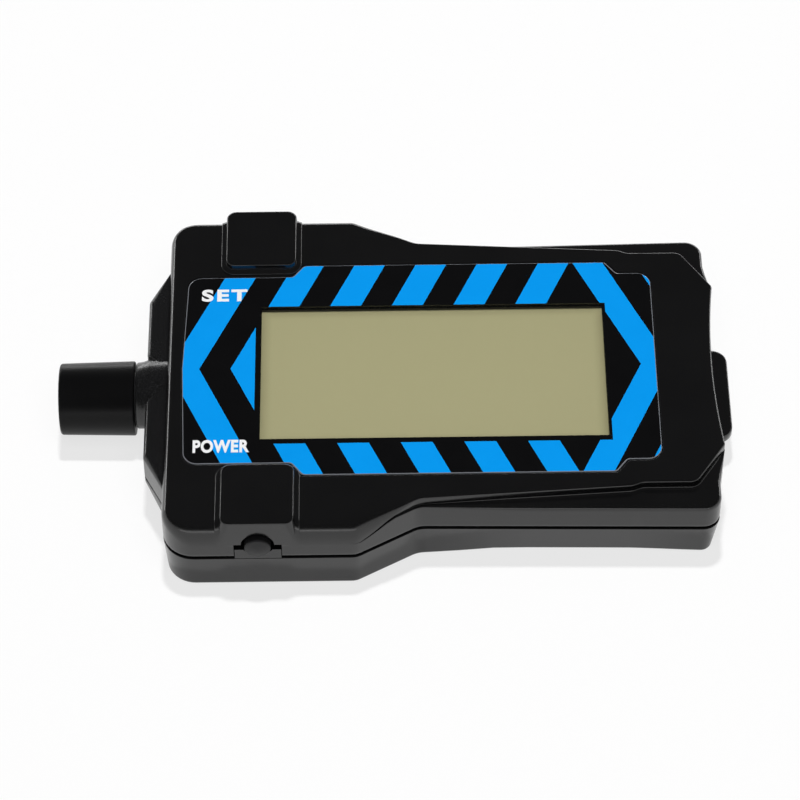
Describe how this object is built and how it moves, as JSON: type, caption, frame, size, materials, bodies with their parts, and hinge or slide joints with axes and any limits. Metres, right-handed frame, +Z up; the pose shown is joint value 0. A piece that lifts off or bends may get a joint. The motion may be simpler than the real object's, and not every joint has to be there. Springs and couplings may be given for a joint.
{
  "type": "laser tachometer",
  "caption": "Pocket tachometer with a wide head, waisted grip, large display, striped face label, side buttons and an optical sensor tube.",
  "frame": {"origin": "middle of the overall length and width, on the flat underside", "axes": "+X from the sensor tube to the tail, +Y to the SET side, +Z up through the display"},
  "size_m": [0.0892, 0.0558, 0.0132],
  "materials": {
    "case_black": "satin",
    "label_print": "satin",
    "clear_pane": "gloss",
    "display_grey": "gloss",
    "strip_rubber": "matte",
    "board_green": "satin",
    "chip_black": "matte",
    "can_steel": "satin",
    "button_grey": "matte",
    "lens_red": "gloss",
    "contact_brass": "satin",
    "screw_steel": "satin"
  },
  "bodies": {
    "case": {"upper_case": "case_black", "lower_case": "case_black", "face_label": "label_print", "display_window": "clear_pane", "lcd_panel": "display_grey", "connector_strip_front": "strip_rubber", "connector_strip_back": "strip_rubber", "circuit_board": "board_green", "microcontroller": "chip_black", "crystal": "can_steel", "power_switch_body": "chip_black", "set_switch_body": "chip_black", "sensor_sleeve": "case_black", "nose_lens": "lens_red", "optics_holder": "chip_black", "laser_diode": "contact_brass", "photodiode": "chip_black", "coin_cell": "can_steel", "cell_holder": "chip_black", "positive_contact": "contact_brass", "negative_contact": "contact_brass", "case_screws": "screw_steel", "board_screws": "screw_steel"},
    "power_key": {"power_button": "button_grey"},
    "set_key": {"set_button": "button_grey"},
    "cap": {"battery_cap": "case_black"}
  },
  "joints": [
    {"name": "power_press", "type": "slide", "parent": "case", "child": "power_key", "axis": [0, 1, 0], "range_m": [0, 0.0003], "stiffness_N_per_m": 6000},
    {"name": "set_press", "type": "slide", "parent": "case", "child": "set_key", "axis": [0, -1, 0], "range_m": [0, 0.0003], "stiffness_N_per_m": 6000},
    {"name": "battery_cap_turn", "type": "hinge", "parent": "case", "child": "cap", "pos_m": [0.0181, 0, 0.00075], "axis": [0, 0, 1], "range_deg": [0, 60]}
  ]
}
